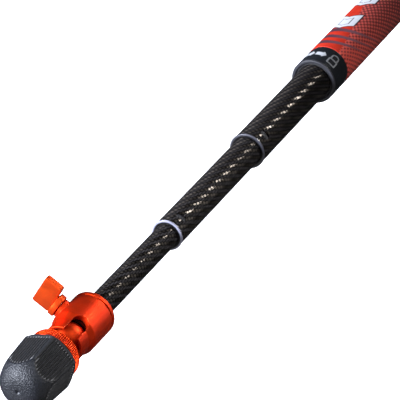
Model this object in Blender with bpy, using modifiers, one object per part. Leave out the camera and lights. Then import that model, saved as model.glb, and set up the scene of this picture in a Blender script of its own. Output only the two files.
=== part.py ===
"""Telescopic carbon pole with a twist-lock collar, a locking ball head and a
screw-on rubber foot. Blender 4.5, metres, +Z up.

The pole stands upright on its butt: the origin is the centre of the butt face
and +Z runs along the pole towards the ball head. The thumb screw of the head
points to +X and the slot of the ball socket opens to -Y.
"""

import bmesh
import bpy
from math import cos, pi, radians, sin, sqrt, tan
from mathutils import Matrix, Vector

MM = 0.001

# ---------------------------------------------------------------- dimensions
# All lengths in millimetres here; they are turned into metres when built.
FACETS_TUBE = 32          # sides of the large round pieces
FACETS_PART = 28          # sides of the head's round pieces
FACETS_SMALL = 20         # sides of hidden or small pieces
FACETS_ROD = 12           # sides of studs and screws

# outer tube and butt
OUTER_R = 16.0
OUTER_WALL = 1.8
OUTER_TOP = 559.7
BUTT_PAD_T = 1.5
BUTT_CAP_TOP = 8.0
BUTT_PLUG_TOP = 30.0
THREAD_R = 3.3            # clearance bore of a 1/4 inch thread

# twist-lock collar
SLEEVE_BOTTOM = 536.0
COLLAR_Z0 = 561.1
COLLAR_Z1 = 584.1
COLLAR_R = 16.0
CLAMP_LEAD = 4.8          # travel of the clamp ring for one turn of the collar

# inner sections: outside radius, wall, bottom, top of the tube
A_R, A_WALL, A_BOT, A_TOP = 11.9, 1.1, 146.9, 695.7
B_R, B_WALL, B_BOT, B_TOP = 9.8, 1.0, 306.0, 817.3
C_R, C_WALL, C_BOT, C_TOP = 7.7, 1.0, 460.0, 917.9
RING_T = 1.05             # thickness of the end rings' flange
WINDOW_BACK = 11.3        # window centre behind the ring face
WINDOW_W = 6.3
WINDOW_L = 5.0
TAB_W = 5.9
TAB_L = 3.7
A_WINDOW_DEG = -102.0     # direction of the snap window on section 1
B_WINDOW_DEG = -87.5      # and on section 2

# ball head
HEAD_R = 14.1
BASE_Z0, BASE_Z1 = 918.2, 921.4
HOUSING_Z0 = 921.7
SHOULDER_Z = 942.6
NECK_IN_Z = 947.0
RIM_R = 12.3
RIM_Z = 957.1
BORE_R = 10.3
BALL_Z = 949.4
BALL_R = 10.0
LIP_R = 9.35
LIP_DZ = 4.2
MOUTH_R = 11.0
SLOT_W = 10.0
SLOT_Z = 946.7
STEM_R = 4.1
SCREW_Z = 932.6
BOSS_R, BOSS_X = 5.9, 16.0
WING_Y0, WING_Y1 = -13.8, 7.6   # the thumb screw's wing stands out to one side
WING_X1 = 32.1
WING_T = 4.0
WING_TILT = -7.0

# platform and foot
DISC_R = 15.7
DISC_Z0, DISC_Z1 = 966.0, 972.5
PAD_Z0, PAD_Z1 = 972.7, 973.9
FOOT_Z0 = 974.2
HEX_Z0 = 977.9
HEX_R0, HEX_R1 = 18.8, 17.3  # corner radius at the rim and where it meets the dome
HEX_EDGE_Z = 1001.0
HEX_TURN = 15.0           # turns a corner of the skirt from +Y to its place
DOME_R, DOME_Z = 17.4, 994.8
CROWN_DEG = 40.0          # the sphere is flattened inside this angle from the axis
FOOT_TOP = 1010.2

# ------------------------------------------------------------------- scene
for old in list(bpy.data.objects):
    bpy.data.objects.remove(old, do_unlink=True)

part = bpy.data.collections.new("telescopic_pole")
cutters = bpy.data.collections.new("cutters")
bpy.context.scene.collection.children.link(part)
bpy.context.scene.collection.children.link(cutters)
cutters.hide_render = True


def material(name, colour, roughness, metallic=0.0):
    made = bpy.data.materials.new(name)
    made.use_nodes = True
    shader = made.node_tree.nodes["Principled BSDF"]
    shader.inputs["Base Color"].default_value = (*colour, 1.0)
    shader.inputs["Roughness"].default_value = roughness
    shader.inputs["Metallic"].default_value = metallic
    made.diffuse_color = (*colour, 1.0)
    return made


MATERIALS = {
    "red_print": material("red_print", (0.55, 0.03, 0.02), 0.35),
    "black_plastic": material("black_plastic", (0.018, 0.018, 0.02), 0.5),
    "grey_plastic": material("grey_plastic", (0.16, 0.16, 0.17), 0.5),
    "ring_grey": material("ring_grey", (0.35, 0.35, 0.38), 0.4),
    "ring_light": material("ring_light", (0.55, 0.55, 0.62), 0.4),
    "carbon": material("carbon", (0.02, 0.019, 0.018), 0.3),
    "orange": material("orange", (0.80, 0.09, 0.02), 0.35, 0.6),
    "steel": material("steel", (0.55, 0.55, 0.56), 0.3, 1.0),
    "black_steel": material("black_steel", (0.05, 0.05, 0.055), 0.4, 1.0),
    "brass": material("brass", (0.70, 0.52, 0.22), 0.35, 1.0),
    "nylon": material("nylon", (0.62, 0.60, 0.55), 0.5),
    "rubber": material("rubber", (0.02, 0.02, 0.022), 0.75),
}


# ------------------------------------------------------------- small helpers
def empty(name, xyz, parent=None):
    made = bpy.data.objects.new(name, None)
    made.empty_display_size = 0.01
    part.objects.link(made)
    settle(made, xyz, parent)
    return made


def world_place(obj):
    """World position of an object whose parents are only moved, never turned."""
    place = Vector(obj.location)
    while obj.parent:
        obj = obj.parent
        place += Vector(obj.location)
    return place


def settle(obj, xyz, parent=None):
    """Puts the object at a world position in mm, under a parent that is not turned."""
    place = Vector(xyz) * MM
    if parent:
        obj.parent = parent
        place -= world_place(parent)
    obj.location = place


def add(name, mesh, slot, xyz=(0, 0, 0), parent=None, turn=None):
    obj = bpy.data.objects.new(name, mesh)
    if slot:
        mesh.materials.append(MATERIALS[slot])
        part.objects.link(obj)
    else:
        cutters.objects.link(obj)
        obj.hide_render = True
        obj.display_type = "WIRE"
    settle(obj, xyz, parent)
    if turn:
        obj.rotation_euler = turn
    return obj


def turned(name, profile, slot, xyz=(0, 0, 0), parent=None, facets=FACETS_PART, ring=True, turn=None):
    """A turned piece. The profile is a list of (radius, height) in mm, from the
    top down the outer side; a ring's profile closes on itself, a solid one
    starts and ends on the axis."""
    mesh = bpy.data.meshes.new(name)
    edges = [(i, i + 1) for i in range(len(profile) - 1)]
    if ring:
        edges.append((len(profile) - 1, 0))
    mesh.from_pydata([(r * MM, 0.0, z * MM) for r, z in profile], edges, [])
    obj = add(name, mesh, slot, xyz, parent, turn)
    screw = obj.modifiers.new("Turn", "SCREW")
    screw.axis = "Z"
    screw.angle = 2 * pi
    screw.steps = facets
    screw.render_steps = facets
    screw.use_merge_vertices = True
    screw.merge_threshold = 1e-6
    screw.use_smooth_shade = True
    screw.use_normal_calculate = False
    return obj


def boxed(name, size, slot, xyz=(0, 0, 0), parent=None, turn=None, round_edges=0.0, axis=None, segments=3):
    """A block of the given size in mm. round_edges rounds the four edges along one axis."""
    mesh = bpy.data.meshes.new(name)
    shape = bmesh.new()
    bmesh.ops.create_cube(shape, size=1.0, matrix=Matrix.Diagonal((*[s * MM for s in size], 1.0)))
    if round_edges:
        along = [
            e for e in shape.edges
            if abs((e.verts[0].co - e.verts[1].co).normalized()[axis]) > 0.99
        ]
        bmesh.ops.bevel(shape, geom=along, offset=round_edges * MM, segments=segments, profile=0.5, affect="EDGES")
    shape.to_mesh(mesh)
    shape.free()
    return add(name, mesh, slot, xyz, parent, turn)


def rod_cutter(name, radius, low, high, facets=FACETS_SMALL, turn=None, xyz=(0, 0, 0)):
    return turned(name, [(0, high), (radius, high), (radius, low), (0, low)], None, xyz,
                  facets=facets, ring=False, turn=turn)


def boolean(obj, other, operation):
    step = obj.modifiers.new(operation.title() + " " + other.name, "BOOLEAN")
    step.operation = operation
    step.object = other
    step.solver = "EXACT"
    return step


def cut(obj, other):
    return boolean(obj, other, "DIFFERENCE")


def join(obj, other):
    return boolean(obj, other, "UNION")


def pipe(r_out, r_in, z0, z1, chamfer=0.0):
    if not chamfer:
        return [(r_out, z1), (r_out, z0), (r_in, z0), (r_in, z1)]
    return [(r_out - chamfer, z1), (r_out, z1 - chamfer), (r_out, z0 + chamfer),
            (r_out - chamfer, z0), (r_in, z0), (r_in, z1)]


TO_X = (0.0, pi / 2, 0.0)      # turns a piece's own +Z to the pole's +X
TO_Y = (pi / 2, 0.0, 0.0)      # turns a piece's own +Z to the pole's -Y

# --------------------------------------------------------------- joint frames
root = empty("pole", (0, 0, 0))
collar_axis = empty("collar_axis", (0, 0, COLLAR_Z0), root)
clamp_axis = empty("clamp_axis", (0, 0, COLLAR_Z0), root)
section_1 = empty("section_1_axis", (0, 0, A_BOT), root)
section_2 = empty("section_2_axis", (0, 0, B_BOT), section_1)
section_3 = empty("section_3_axis", (0, 0, C_BOT), section_2)
head_axis = empty("head_axis", (0, 0, BASE_Z0), section_3)
ball_centre = empty("ball_centre", (0, 0, BALL_Z), head_axis)
screw_axis = empty("thumb_screw_axis", (0, 0, SCREW_Z), head_axis)
spin_axis = empty("platform_axis", (0, 0, DISC_Z0), ball_centre)
foot_axis = empty("foot_axis", (0, 0, FOOT_Z0), spin_axis)

# ---------------------------------------------------------------- outer tube
outer_in = OUTER_R - OUTER_WALL
turned("outer_tube", pipe(OUTER_R, outer_in, BUTT_CAP_TOP + 0.3, OUTER_TOP), "red_print",
       parent=root, facets=FACETS_TUBE)
turned("butt_cap", [
    (OUTER_R - 0.2, BUTT_CAP_TOP), (OUTER_R, BUTT_CAP_TOP - 0.8), (OUTER_R, 3.2),
    (OUTER_R - 1.2, BUTT_PAD_T + 0.2), (6.1, BUTT_PAD_T + 0.2), (6.1, BUTT_PLUG_TOP),
    (outer_in - 1.2, BUTT_PLUG_TOP), (outer_in - 0.15, BUTT_PLUG_TOP - 1.5),
    (outer_in - 0.15, BUTT_CAP_TOP),
], "black_plastic", parent=root, facets=FACETS_TUBE)
turned("butt_pad", pipe(OUTER_R - 0.9, 6.4, 0.0, BUTT_PAD_T), "rubber", parent=root, facets=FACETS_TUBE)
turned("butt_thread_insert", pipe(5.9, THREAD_R, 2.0, 20.0, 0.4), "brass", parent=root, facets=FACETS_SMALL)

# --------------------------------------------------------- twist-lock collar
grip_in = A_R + 0.3
lock_sleeve = turned("lock_sleeve", [
    (13.3, 581.0), (13.9, 578.5), (13.3, 570.5), (13.3, 560.9), (15.7, 560.9), (15.7, 559.9),
    (outer_in - 0.15, 559.9), (outer_in - 0.15, SLEEVE_BOTTOM), (grip_in, SLEEVE_BOTTOM), (grip_in, 581.0),
], "black_plastic", parent=root, facets=FACETS_TUBE)
for k in range(3):
    slit = boxed(f"collet_slit_{k + 1}", (32.0, 1.2, 16.0), None, (0, 0, 566.0 + 8.0),
                 turn=(0, 0, radians(60 * k + 30 + 4.5)))
    cut(lock_sleeve, slit)
turned("clamp_ring", [
    (14.45, 577.8), (14.45, 567.5), (13.5, 567.5), (13.5, 570.5), (14.02, 577.8),
], "steel", parent=clamp_axis, facets=FACETS_TUBE)
turned("twist_collar", [
    (COLLAR_R, 582.2), (COLLAR_R, COLLAR_Z0 + 0.3), (COLLAR_R - 0.3, COLLAR_Z0),
    (14.65, COLLAR_Z0), (14.65, 582.2),
], "black_plastic", parent=collar_axis, facets=FACETS_TUBE)
turned("collar_mouth_ring", [
    (COLLAR_R - 0.5, COLLAR_Z1), (COLLAR_R - 0.05, COLLAR_Z1 - 0.6), (COLLAR_R - 0.05, 582.4),
    (13.5, 582.4), (13.5, COLLAR_Z1 - 0.5), (14.0, COLLAR_Z1),
], "grey_plastic", parent=collar_axis, facets=FACETS_TUBE)
turned("wiper_ring", pipe(13.3, A_R + 0.3, 581.4, 582.9), "rubber", parent=collar_axis, facets=FACETS_TUBE)


# ------------------------------------------------------------ carbon sections
def section(name, r, wall, bottom, top, parent, window_deg=None):
    tube = turned(name, pipe(r, r - wall, bottom, top), "carbon", parent=parent, facets=FACETS_TUBE)
    if window_deg is not None:
        face = top + 0.15 + RING_T
        a = radians(window_deg)
        mid = r - wall / 2
        window = boxed(name + "_window", (4.0, WINDOW_W, WINDOW_L), None,
                       (mid * cos(a), mid * sin(a), face - WINDOW_BACK), turn=(0, 0, a))
        cut(tube, window)
    return tube


def end_ring(name, r, wall, inner_r, top, slot, parent, window_deg):
    """The bush at a section's mouth: a thin flange on the tube's end, a spigot
    inside the tube and a snap tab that stands in the tube's window."""
    face = top + 0.15 + RING_T
    spigot = r - wall - 0.13
    bush = turned(name, [
        (r + 0.15, face), (r + 0.4, face - 0.25), (r + 0.4, face - RING_T), (spigot, face - RING_T),
        (spigot, face - 16.0), (inner_r, face - 16.0), (inner_r, face - 0.3), (inner_r + 0.3, face),
    ], slot, parent=parent, facets=FACETS_TUBE)
    a = radians(window_deg)
    shift = (WINDOW_L - TAB_L) / 2 - 0.15
    low, high = inner_r + 0.35, sqrt((r - 0.1) ** 2 - (TAB_W / 2) ** 2)
    tab = boxed(name + "_tab", (high - low, TAB_W, TAB_L), None,
                ((low + high) / 2 * cos(a), (low + high) / 2 * sin(a), face - WINDOW_BACK + shift),
                turn=(0, 0, a))
    join(bush, tab)
    return bush


section("section_1_tube", A_R, A_WALL, A_BOT, A_TOP, section_1, A_WINDOW_DEG)
end_ring("section_1_end_ring", A_R, A_WALL, B_R + 0.15, A_TOP, "ring_grey", section_1, A_WINDOW_DEG)
turned("section_1_guide_bush", pipe(outer_in - 0.2, A_R + 0.12, A_BOT, A_BOT + 26.0, 0.4), "nylon",
       parent=section_1, facets=FACETS_TUBE)

section("section_2_tube", B_R, B_WALL, B_BOT, B_TOP, section_2, B_WINDOW_DEG)
end_ring("section_2_end_ring", B_R, B_WALL, C_R + 0.15, B_TOP, "ring_light", section_2, B_WINDOW_DEG)

section("section_3_tube", C_R, C_WALL, C_BOT, C_TOP, section_3)


def twist_lock(number, tube_r, tube_wall, bottom, grip_r, stud_r, cone_big, parent_tube, parent_lock):
    """The internal lock at the bottom of a section: a plug bonded in the tube
    carries a threaded stud; the cone runs on the stud and spreads the split
    expander against the next tube's inside."""
    plug_r = tube_r - tube_wall - 0.14
    turned(f"section_{number}_plug", [
        (plug_r - 0.6, bottom + 16.0), (plug_r, bottom + 15.2), (plug_r, bottom - 0.3),
        (tube_r - 0.1, bottom - 0.3), (tube_r - 0.1, bottom - 2.3),
        (stud_r + 0.15, bottom - 2.3), (stud_r + 0.15, bottom + 16.0),
    ], "steel", parent=parent_tube, facets=FACETS_SMALL)
    head = stud_r + 1.6
    turned(f"lock_{number}_stud", [
        (0, bottom + 15.5), (stud_r, bottom + 15.5), (stud_r, bottom - 34.0), (head, bottom - 34.0),
        (head, bottom - 35.6), (0, bottom - 35.6),
    ], "steel", parent=parent_tube, facets=FACETS_ROD, ring=False)
    small = stud_r + 1.4
    cone = turned(f"lock_{number}_cone", [
        (small, bottom - 16.5), (cone_big, bottom - 29.5), (cone_big, bottom - 31.0),
        (stud_r + 0.2, bottom - 31.0), (stud_r + 0.2, bottom - 16.5),
    ], "brass", parent=parent_lock, facets=FACETS_SMALL)
    expander = turned(f"lock_{number}_expander", [
        (grip_r - 0.4, bottom - 3.0), (grip_r, bottom - 3.6), (grip_r, bottom - 28.0), (grip_r - 0.5, bottom - 28.6),
        (cone_big + 0.28, bottom - 28.6), (small + 0.3, bottom - 15.5), (small + 0.3, bottom - 6.0),
        (stud_r + 0.25, bottom - 6.0), (stud_r + 0.25, bottom - 3.0),
    ], "nylon", parent=parent_lock, facets=FACETS_SMALL)
    for k in range(2):
        slit = boxed(f"expander_{number}_slit_{k + 1}", (2 * grip_r + 4.0, 1.0, 21.0), None,
                     (0, 0, bottom - 29.5 + 10.5), turn=(0, 0, radians(90 * k + 7.5 / 2)))
        cut(expander, slit)
    return cone


lock_2_axis = empty("lock_2_axis", (0, 0, B_BOT - 30.0), section_1)
lock_3_axis = empty("lock_3_axis", (0, 0, C_BOT - 30.0), section_2)
twist_lock(2, B_R, B_WALL, B_BOT, A_R - A_WALL - 0.25, 2.5, 7.8, section_2, lock_2_axis)
twist_lock(3, C_R, C_WALL, C_BOT, B_R - B_WALL - 0.25, 2.0, 6.2, section_3, lock_3_axis)

# ----------------------------------------------------------------- ball head
turned("section_3_top_plug", pipe(C_R - C_WALL - 0.14, THREAD_R, C_TOP - 16.0, C_TOP), "steel",
       parent=section_3, facets=FACETS_SMALL)
turned("head_stud", [(0, 926.6), (2.7, 926.6), (3.1, 926.2), (3.1, C_TOP - 14.5), (0, C_TOP - 14.5)],
       "steel", parent=head_axis, facets=FACETS_ROD, ring=False)
turned("head_base_cap", [
    (9.8, 925.2), (9.8, BASE_Z1), (HEAD_R - 0.35, BASE_Z1), (HEAD_R, BASE_Z1 - 0.35), (HEAD_R, BASE_Z0 + 0.6),
    (HEAD_R - 0.6, BASE_Z0), (THREAD_R, BASE_Z0), (THREAD_R, 925.2),
], "orange", parent=head_axis)

housing = turned("head_housing", [
    (RIM_R - 0.45, RIM_Z), (RIM_R, RIM_Z - 0.45), (RIM_R, NECK_IN_Z + 0.6), (RIM_R + 0.35, NECK_IN_Z - 0.7),
    (HEAD_R - 0.3, SHOULDER_Z + 1.0), (HEAD_R, SHOULDER_Z), (HEAD_R, HOUSING_Z0 + 0.35),
    (HEAD_R - 0.35, HOUSING_Z0), (BORE_R, HOUSING_Z0), (BORE_R, BALL_Z + 1.6),
    (LIP_R, BALL_Z + LIP_DZ), (MOUTH_R - 0.5, RIM_Z - 1.2), (MOUTH_R, RIM_Z),
], "orange", parent=head_axis)
slot_mesh = bpy.data.meshes.new("ball_slot")
shape = bmesh.new()
bmesh.ops.create_cone(shape, cap_ends=True, segments=24, radius1=SLOT_W / 2 * MM, radius2=SLOT_W / 2 * MM,
                      depth=17.0 * MM, matrix=Matrix.Translation((0, -11.5 * MM, 0)) @ Matrix.Rotation(pi / 2, 4, "X"))
for vert in shape.verts:          # the round end below, straight sides up through the mouth
    if vert.co.z > 1e-6:
        vert.co.z = 0.020
shape.to_mesh(slot_mesh)
shape.free()
cut(housing, add("ball_slot", slot_mesh, None, (0, 0, SLOT_Z)))
cut(housing, rod_cutter("thumb_screw_bore", 4.0, 5.0, 20.0, turn=TO_X, xyz=(0, 0, SCREW_Z)))
boss = turned("thumb_boss", [
    (BOSS_R - 0.4, BOSS_X), (BOSS_R, BOSS_X - 0.4), (BOSS_R, 11.2), (2.75, 11.2), (2.75, BOSS_X),
], None, (0, 0, SCREW_Z), facets=FACETS_SMALL, turn=TO_X)
join(housing, boss)


def arc(radius, centre, start_deg, end_deg, steps):
    """Points (r, z) of an arc about a centre on the axis; angles from straight up."""
    out = []
    for i in range(steps + 1):
        a = radians(start_deg + (end_deg - start_deg) * i / steps)
        r = radius * sin(a)
        out.append((0.0 if abs(r) < 1e-9 else r, centre + radius * cos(a)))
    return out


cup_r = 10.0
cup_recess = 11.1
edge_deg = 180 - 59.0
pressure_cup = turned("pressure_cup", [
    *arc(cup_recess, BALL_Z, 180, edge_deg, 6),
    (cup_r, BALL_Z + cup_recess * cos(radians(edge_deg))), (cup_r, 932.3), (0, 932.3),
], "black_steel", parent=ball_centre, facets=FACETS_PART, ring=False)
cut(pressure_cup, rod_cutter("wedge_groove", 3.35, -3.4, 12.0, turn=TO_X, xyz=(0, 0, SCREW_Z)))

seat_in = arc(10.2, BALL_Z, 180, 138, 5)
seat_out = arc(10.9, BALL_Z, 138, 180, 5)
turned("ball_seat", seat_in + seat_out, "nylon", parent=ball_centre, facets=FACETS_SMALL, ring=False)

stem_join = BALL_Z + sqrt(BALL_R ** 2 - (STEM_R + 0.5) ** 2)
turned("ball", [
    (0, 956.0), (2.2, 956.0), (2.2, DISC_Z0 - 0.25), (STEM_R, DISC_Z0 - 0.25), (STEM_R, stem_join + 0.6),
    (STEM_R + 0.5, stem_join), *arc(BALL_R, BALL_Z, 36, 180, 10),
], "orange", parent=ball_centre, facets=FACETS_PART, ring=False)

turned("lock_plunger", [
    (0, 8.2), (2.85, 8.2), (2.85, 2.6), (1.1, -2.6), (0, -2.6),
], "steel", (0, 0, SCREW_Z), parent=screw_axis, facets=FACETS_SMALL, ring=False, turn=TO_X)
turned("thumb_screw_shaft", [
    (0, 18.8), (2.5, 18.8), (2.5, 8.9), (2.1, 8.5), (0, 8.5),
], "steel", (0, 0, SCREW_Z), parent=screw_axis, facets=FACETS_ROD, ring=False, turn=TO_X)
knob = turned("thumb_knob", [
    (0, 19.9), (6.6, 19.9), (6.9, 19.6), (6.9, 16.7), (6.5, 16.3), (0, 16.3),
], "orange", (0, 0, SCREW_Z), parent=screw_axis, facets=FACETS_SMALL, ring=False, turn=TO_X)
wing_turn = (radians(WING_TILT), 0, 0)


def beside(x, across):
    """A point of the wing: x along the screw, across it in the wing's own plane."""
    return (x, across * cos(wing_turn[0]), SCREW_Z + across * sin(wing_turn[0]))


wing = boxed("thumb_wing", (WING_X1 - 20.3, WING_Y1 - WING_Y0, WING_T), None,
             beside((20.3 + WING_X1) / 2, (WING_Y0 + WING_Y1) / 2), round_edges=1.5, axis=2, turn=wing_turn)
web = boxed("thumb_web", (4.0, 12.0, WING_T - 0.4), None, beside(21.0, 0.6), turn=wing_turn)
join(knob, web)
join(knob, wing)
cut(knob, rod_cutter("knob_bore", 2.65, 12.0, 19.0, facets=FACETS_ROD, turn=TO_X, xyz=(0, 0, SCREW_Z)))

# ---------------------------------------------------------- platform and foot
turned("platform_disc", [
    (DISC_R - 0.4, DISC_Z1), (DISC_R, DISC_Z1 - 0.4), (DISC_R, DISC_Z0 + 0.4), (DISC_R - 0.4, DISC_Z0),
    (THREAD_R, DISC_Z0), (THREAD_R, DISC_Z1),
], "orange", parent=spin_axis, facets=FACETS_TUBE)
turned("mount_stud", [
    (0, 979.6), (2.6, 979.6), (3.15, 979.0), (3.15, 966.2), (2.0, 966.2), (2.0, 958.2), (0, 958.2),
], "steel", parent=spin_axis, facets=FACETS_ROD, ring=False)
turned("platform_pad", pipe(14.6, 3.5, PAD_Z0, PAD_Z1), "rubber", parent=spin_axis, facets=FACETS_TUBE)
turned("foot_thread_insert", pipe(7.0, THREAD_R + 0.1, FOOT_Z0 + 0.4, 985.0, 0.3), "brass", parent=foot_axis,
       facets=FACETS_SMALL)

def crown(steps):
    """The dome's flattened crown, from the middle out to where the sphere takes over."""
    edge_r = DOME_R * sin(radians(CROWN_DEG))
    edge_z = DOME_Z + DOME_R * cos(radians(CROWN_DEG))
    return [(edge_r * k / steps, edge_z + (FOOT_TOP - edge_z) * (1 - (k / steps) ** 3.5)) for k in range(1, steps)]


foot = turned("rubber_foot", [
    (0, FOOT_TOP - 0.6), (1.2, FOOT_TOP - 0.45), (1.7, FOOT_TOP), *crown(4)[1:],
    *arc(DOME_R, DOME_Z, CROWN_DEG, 74, 4), (22.0, DOME_Z + 2.0), (22.0, FOOT_Z0 + 5.6),
    (17.2, FOOT_Z0), (7.2, FOOT_Z0), (7.2, 985.8), (0, 985.8),
], "rubber", parent=foot_axis, facets=FACETS_TUBE, ring=False)
hexagon = bpy.data.meshes.new("hex_skirt")
shape = bmesh.new()
hex_slope = (HEX_R0 - HEX_R1) / (HEX_EDGE_Z - HEX_Z0)
bmesh.ops.create_cone(shape, cap_ends=True, segments=6, radius1=(HEX_R0 + 10.0 * hex_slope) * MM,
                      radius2=(HEX_R0 - 40.0 * hex_slope) * MM, depth=50.0 * MM,
                      matrix=Matrix.Translation((0, 0, (HEX_Z0 + 15.0) * MM)) @ Matrix.Rotation(radians(HEX_TURN), 4, "Z"))
shape.to_mesh(hexagon)
shape.free()
hex_cutter = add("hex_skirt", hexagon, None)
boolean(foot, hex_cutter, "INTERSECT")
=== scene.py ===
from math import acos, atan, atan2, cos, degrees, floor, pi, radians, sin, sqrt, tan

import bmesh
import bpy
from mathutils import Matrix, Vector


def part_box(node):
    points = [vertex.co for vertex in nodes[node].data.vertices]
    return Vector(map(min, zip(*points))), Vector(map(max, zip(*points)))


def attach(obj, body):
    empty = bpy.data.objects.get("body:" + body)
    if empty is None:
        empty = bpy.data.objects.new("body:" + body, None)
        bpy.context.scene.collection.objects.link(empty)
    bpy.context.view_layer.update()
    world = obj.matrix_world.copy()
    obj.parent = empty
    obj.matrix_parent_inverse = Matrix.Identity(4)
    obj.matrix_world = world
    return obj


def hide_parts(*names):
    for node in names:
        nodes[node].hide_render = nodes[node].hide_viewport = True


# Looks of the telescopic pole. Every piece is built in the row frame, in
# millimetres here and metres in the mesh, around the places of the CAD nodes.

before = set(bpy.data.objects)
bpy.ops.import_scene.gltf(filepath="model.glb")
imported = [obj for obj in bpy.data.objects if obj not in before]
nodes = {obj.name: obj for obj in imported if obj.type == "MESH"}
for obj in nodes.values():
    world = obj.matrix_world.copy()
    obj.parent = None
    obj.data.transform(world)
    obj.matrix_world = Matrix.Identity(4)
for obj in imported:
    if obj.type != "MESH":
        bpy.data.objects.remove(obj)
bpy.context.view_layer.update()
MM = 0.001
FRONT = -96.0          # azimuth of the side that faces the camera, in degrees


def span(node):
    """Largest radius (or +X reach), lowest and highest Z of a CAD node, in mm."""
    low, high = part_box(node)
    return high.x / MM, low.z / MM, high.z / MM


# ------------------------------------------------------------------ the camera
def make_camera():
    azimuth, elevation, distance = radians(-6.0), radians(53.0), 1.571
    target = Vector((0, 0, 0.7693))
    back = Vector((sin(azimuth) * cos(elevation), -cos(azimuth) * cos(elevation), sin(elevation)))
    view = -back
    down_axis = Vector((0, 0, -1))
    along = (down_axis - view * view.dot(down_axis)).normalized()
    across = view.cross(along)
    tilt = Vector((0.6895, -0.7243)).normalized()
    right = along * tilt.x + across * -tilt.y
    up = -(along * tilt.y + across * tilt.x)
    place = target + back * distance - across * 0.00027
    data = bpy.data.cameras.new("camera")
    data.sensor_width = 36.0
    data.lens = 2521.0 / 400.0 * 36.0
    data.clip_start = 0.05
    made = bpy.data.objects.new("camera", data)
    made.matrix_world = Matrix(((right.x, up.x, back.x, place.x), (right.y, up.y, back.y, place.y),
                                (right.z, up.z, back.z, place.z), (0, 0, 0, 1)))
    bpy.context.scene.collection.objects.link(made)
    bpy.context.scene.camera = made


make_camera()


# ---------------------------------------------------------------- mesh helpers
def filleted(points, closed=True, steps=5):
    """A profile of (r, z) or (r, z, radius) corners, with its corners rounded."""
    out = []
    count = len(points)
    for i, point in enumerate(points):
        radius = point[2] if len(point) > 2 else 0.0
        if not radius or (not closed and i in (0, count - 1)):
            out.append((point[0], point[1]))
            continue
        before, here, after = (Vector(points[k % count][:2]) for k in (i - 1, i, i + 1))
        u, v = (before - here).normalized(), (after - here).normalized()
        angle = u.angle(v)
        if angle < 0.02 or angle > pi - 0.02:
            out.append((point[0], point[1]))
            continue
        reach = min(radius / tan(angle / 2), (before - here).length * 0.49, (after - here).length * 0.49)
        radius = reach * tan(angle / 2)
        centre = here + (u + v).normalized() * (radius / sin(angle / 2))
        start, end = here + u * reach, here + v * reach
        a0 = atan2(start.y - centre.y, start.x - centre.x)
        a1 = atan2(end.y - centre.y, end.x - centre.x)
        turn = (a1 - a0 + pi) % (2 * pi) - pi
        for k in range(steps + 1):
            t = a0 + turn * k / steps
            out.append((centre.x + radius * cos(t), centre.y + radius * sin(t)))
    return out


def densify(points, step, closed=True):
    """Splits long straight stretches of a profile, so that no step is longer than given."""
    out = []
    count = len(points)
    for i in range(count if closed else count - 1):
        a, b = Vector(points[i]), Vector(points[(i + 1) % count])
        cuts = max(1, int((b - a).length / step + 0.999))
        out += [tuple(a.lerp(b, k / cuts)) for k in range(cuts)]
    if not closed:
        out.append(tuple(points[-1]))
    return out


def new_object(name, mesh):
    made = bpy.data.objects.new(name, mesh)
    bpy.context.scene.collection.objects.link(made)
    return made


def smooth(obj, angle=38.0):
    obj.data.shade_smooth()
    obj.data.set_sharp_from_angle(angle=radians(angle))
    return obj


def outward(mesh):
    shape = bmesh.new()
    shape.from_mesh(mesh)
    bmesh.ops.recalc_face_normals(shape, faces=shape.faces)
    shape.to_mesh(mesh)
    shape.free()


def lathe(name, profile, segments=144, closed=True, shift=None, place=None, sharp=38.0):
    """A turned mesh. shift(r, z, angle) may move a point, for knurls, ribs and threads."""
    verts, faces, rows = [], [], []
    for r, z in profile:
        if r < 1e-6:
            rows.append([len(verts)])
            verts.append((0.0, 0.0, z * MM))
            continue
        row = []
        for k in range(segments):
            a = 2 * pi * k / segments
            rr, zz = shift(r, z, a) if shift else (r, z)
            row.append(len(verts))
            verts.append((rr * cos(a) * MM, rr * sin(a) * MM, zz * MM))
        rows.append(row)
    for i in range(len(rows) if closed else len(rows) - 1):
        a, b = rows[i], rows[(i + 1) % len(rows)]
        for k in range(segments):
            n = (k + 1) % segments
            if len(a) == 1 and len(b) == 1:
                break
            if len(a) == 1:
                faces.append((a[0], b[k], b[n]))
            elif len(b) == 1:
                faces.append((a[k], b[0], a[n]))
            else:
                faces.append((a[k], b[k], b[n], a[n]))
    mesh = bpy.data.meshes.new(name)
    mesh.from_pydata(verts, [], faces)
    mesh.update()
    if place:
        mesh.transform(place)
    outward(mesh)
    return smooth(new_object(name, mesh), sharp)


def rounded_box(name, size, radius, place=None, segments=4):
    mesh = bpy.data.meshes.new(name)
    shape = bmesh.new()
    bmesh.ops.create_cube(shape, size=1.0, matrix=Matrix.Diagonal((*[s * MM for s in size], 1.0)))
    if radius:
        bmesh.ops.bevel(shape, geom=list(shape.edges), offset=radius * MM, segments=segments, profile=0.5, affect="EDGES")
    shape.to_mesh(mesh)
    shape.free()
    if place:
        mesh.transform(place)
    return new_object(name, mesh)


def baked(obj):
    """Applies the modifiers, in place."""
    bpy.context.view_layer.update()
    graph = bpy.context.evaluated_depsgraph_get()
    mesh = bpy.data.meshes.new_from_object(obj.evaluated_get(graph))
    obj.modifiers.clear()
    obj.data = mesh
    return obj


def combine(obj, other, operation):
    """One exact Boolean, applied; the other object is used up."""
    step = obj.modifiers.new("step", "BOOLEAN")
    step.operation = operation
    step.object = other
    step.solver = "EXACT"
    baked(obj)
    bpy.data.objects.remove(other, do_unlink=True)
    return obj


def weld(obj, distance=0.002):
    shape = bmesh.new()
    shape.from_mesh(obj.data)
    bmesh.ops.remove_doubles(shape, verts=shape.verts, dist=distance * MM)
    bmesh.ops.dissolve_degenerate(shape, edges=shape.edges, dist=distance * MM)
    shape.to_mesh(obj.data)
    shape.free()
    return obj


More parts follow.
